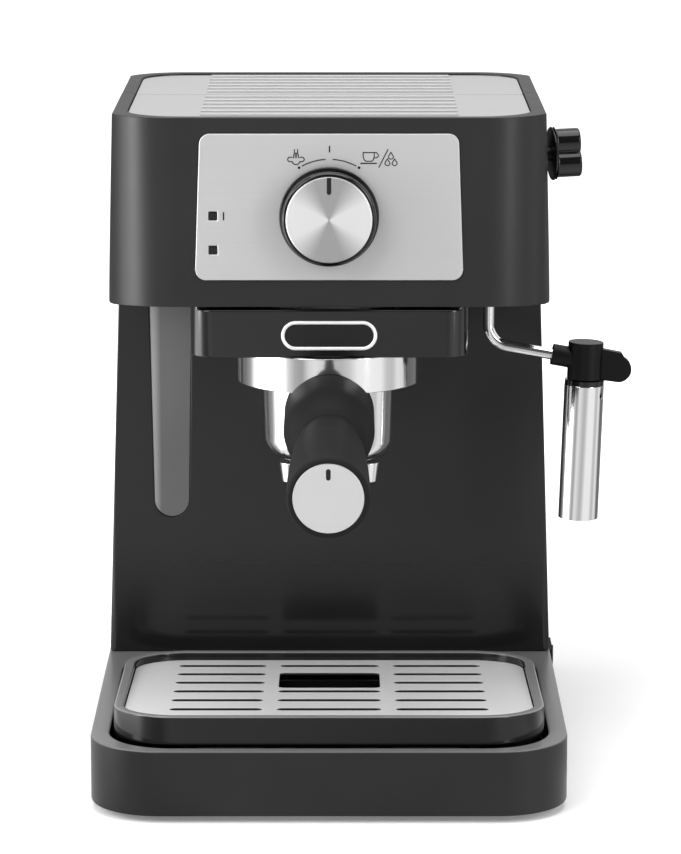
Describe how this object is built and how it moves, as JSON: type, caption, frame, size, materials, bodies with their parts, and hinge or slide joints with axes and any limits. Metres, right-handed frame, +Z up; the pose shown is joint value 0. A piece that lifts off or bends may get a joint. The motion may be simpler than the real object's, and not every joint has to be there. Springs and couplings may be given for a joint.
{
  "type": "espresso machine",
  "caption": "Pump espresso machine with bayonet portafilter, swivelling steam wand, raised cup tray over a drip basin, cup warming plate and a lift-out rear water tank with a hinged lid.",
  "frame": {"origin": "centre of the bounding box's bottom face, on the worktop", "axes": "+X to the right seen from the front, +Y to the back, +Z up"},
  "size_m": [0.2354, 0.3248, 0.2875],
  "materials": {
    "charcoal_shell": "satin dark charcoal",
    "gloss_black": "glossy black",
    "soft_black": "fine matt black",
    "brushed_plate": "brushed across the width",
    "spun_aluminium": "spun",
    "polished_steel": "polished",
    "steel_sheet": "satin sheet",
    "cast_aluminium": "as cast",
    "copper_pipe": "drawn copper",
    "valve_brass": "machined",
    "zinc_steel": "zinc plated",
    "rubber": "matt",
    "gasket_rubber": "silicone",
    "smoked_window": "smoked grey",
    "tank_plastic": "smoked",
    "grey_plastic": "moulded",
    "circuit_board": "lacquered board",
    "ceramic": "phenolic",
    "lamp_black": "dark lens",
    "hose_silicone": "translucent"
  },
  "bodies": {
    "root": {"base_housing": "charcoal_shell", "base_plate": "grey_plastic", "feet": "rubber", "base_screws": "zinc_steel", "column_shell": "gloss_black", "rear_panel": "soft_black", "cord_gland": "rubber", "head_shell": "charcoal_shell", "head_floor": "grey_plastic", "cup_warmer_plate": "brushed_plate", "control_panel": "brushed_plate", "indicator_lights": "lamp_black", "control_board": "circuit_board", "selector_switch": "ceramic", "group_cover": "gloss_black", "badge_rim": "polished_steel", "badge_plate": "gloss_black", "group_collar": "polished_steel", "boiler_lower": "cast_aluminium", "boiler_upper": "cast_aluminium", "boiler_bolts": "zinc_steel", "heating_element": "steel_sheet", "thermostats": "ceramic", "shower_screen": "steel_sheet", "shower_screw": "zinc_steel", "group_gasket": "gasket_rubber", "pump_body": "grey_plastic", "pump_mounts": "rubber", "silicone_hoses": "hose_silicone", "steam_valve_body": "valve_brass", "steam_pipes": "copper_pipe", "wand_seat": "grey_plastic", "water_window": "smoked_window", "tank_bay": "grey_plastic", "switch_frame": "soft_black"},
    "selector": {"selector_knob": "gloss_black", "selector_cap": "spun_aluminium"},
    "steam_control": {"steam_knob": "gloss_black", "steam_spindle": "valve_brass"},
    "wand": {"wand_tube": "polished_steel", "wand_pivot": "polished_steel", "frother_body": "gloss_black"},
    "sleeve": {"frother_sleeve": "polished_steel", "sleeve_ring": "soft_black"},
    "portafilter": {"portafilter_body": "polished_steel", "filter_basket": "steel_sheet", "twin_spout": "polished_steel", "handle_grip": "soft_black", "handle_cap": "spun_aluminium", "handle_bolt": "zinc_steel"},
    "tank": {"water_tank": "tank_plastic"},
    "lid": {"tank_lid": "charcoal_shell", "lid_plate": "brushed_plate", "lid_pins": "zinc_steel"},
    "basin": {"drip_basin": "gloss_black", "basin_slats": "gloss_black"},
    "cup_tray": {"cup_tray_frame": "soft_black", "tray_ribs": "soft_black"},
    "grid": {"cup_grid": "brushed_plate"},
    "rocker": {"power_rocker": "soft_black"}
  },
  "joints": [
    {"name": "selector_turn", "type": "hinge", "parent": "root", "child": "selector", "pos_m": [-0.0162, -0.02757, 0.2452], "axis": [0, -1, 0], "range_deg": [-30, 30]},
    {"name": "steam_turn", "type": "hinge", "parent": "root", "child": "steam_control", "pos_m": [0.07847, 0.01443, 0.2668], "axis": [0.9897, 0.1391, 0.0349], "range_deg": [0, 180]},
    {"name": "wand_swivel", "type": "hinge", "parent": "root", "child": "wand", "pos_m": [0.0543, 0.01443, 0.206], "axis": [0, 0, 1], "range_deg": [-80, 15]},
    {"name": "sleeve_slide", "type": "slide", "parent": "wand", "child": "sleeve", "axis": [-0.0349, 0, -0.9994], "range_m": [0, 0.06]},
    {"name": "portafilter_turn", "type": "hinge", "parent": "root", "child": "portafilter", "pos_m": [-0.0162, 0.01243, 0.1672], "axis": [0, 0, 1], "range_deg": [-45, 0]},
    {"name": "tank_slide", "type": "slide", "parent": "root", "child": "tank", "axis": [0, 0, 1], "range_m": [0, 0.195]},
    {"name": "lid_hinge", "type": "hinge", "parent": "tank", "child": "lid", "pos_m": [-0.0162, 0.15783, 0.2802], "axis": [-1, 0, 0], "range_deg": [0, 90]},
    {"name": "basin_lift", "type": "slide", "parent": "root", "child": "basin", "axis": [0, 0, 1], "range_m": [0, 0.03]},
    {"name": "cup_tray_lift", "type": "slide", "parent": "basin", "child": "cup_tray", "axis": [0, 0, 1], "range_m": [0, 0.03]},
    {"name": "grid_lift", "type": "slide", "parent": "cup_tray", "child": "grid", "axis": [0, 0, 1], "range_m": [0, 0.015]},
    {"name": "power_rock", "type": "hinge", "parent": "root", "child": "rocker", "pos_m": [0.0837, 0.07443, 0.0237], "axis": [0, 0, 1], "range_deg": [0, 14]}
  ]
}
